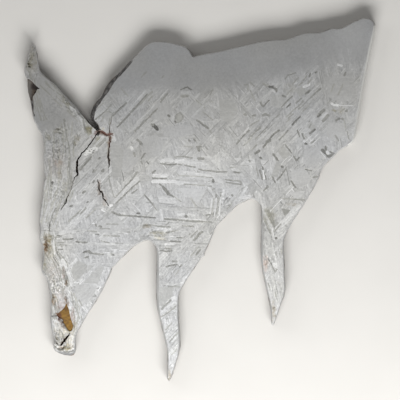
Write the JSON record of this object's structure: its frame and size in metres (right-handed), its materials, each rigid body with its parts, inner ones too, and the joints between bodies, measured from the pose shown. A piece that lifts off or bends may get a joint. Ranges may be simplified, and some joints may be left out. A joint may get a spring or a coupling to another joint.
{
  "type": "etched meteorite slice",
  "caption": "Thin flat slice of an iron meteorite, etched on its upper face to show crossing metal lamellae, with a natural skin round its scooped edge and a straight sawn end.",
  "frame": {"origin": "middle of the slice's box, on the plane of the sawn back that it lies on", "axes": "+Z out of the etched face, +Y from the long prong's tip towards the horn and the back, +X towards the sawn end"},
  "size_m": [0.116, 0.12, 0.0045],
  "materials": {
    "etched_iron": "satin"
  },
  "bodies": {
    "root": {"meteorite_slice": "etched_iron"}
  },
  "joints": []
}
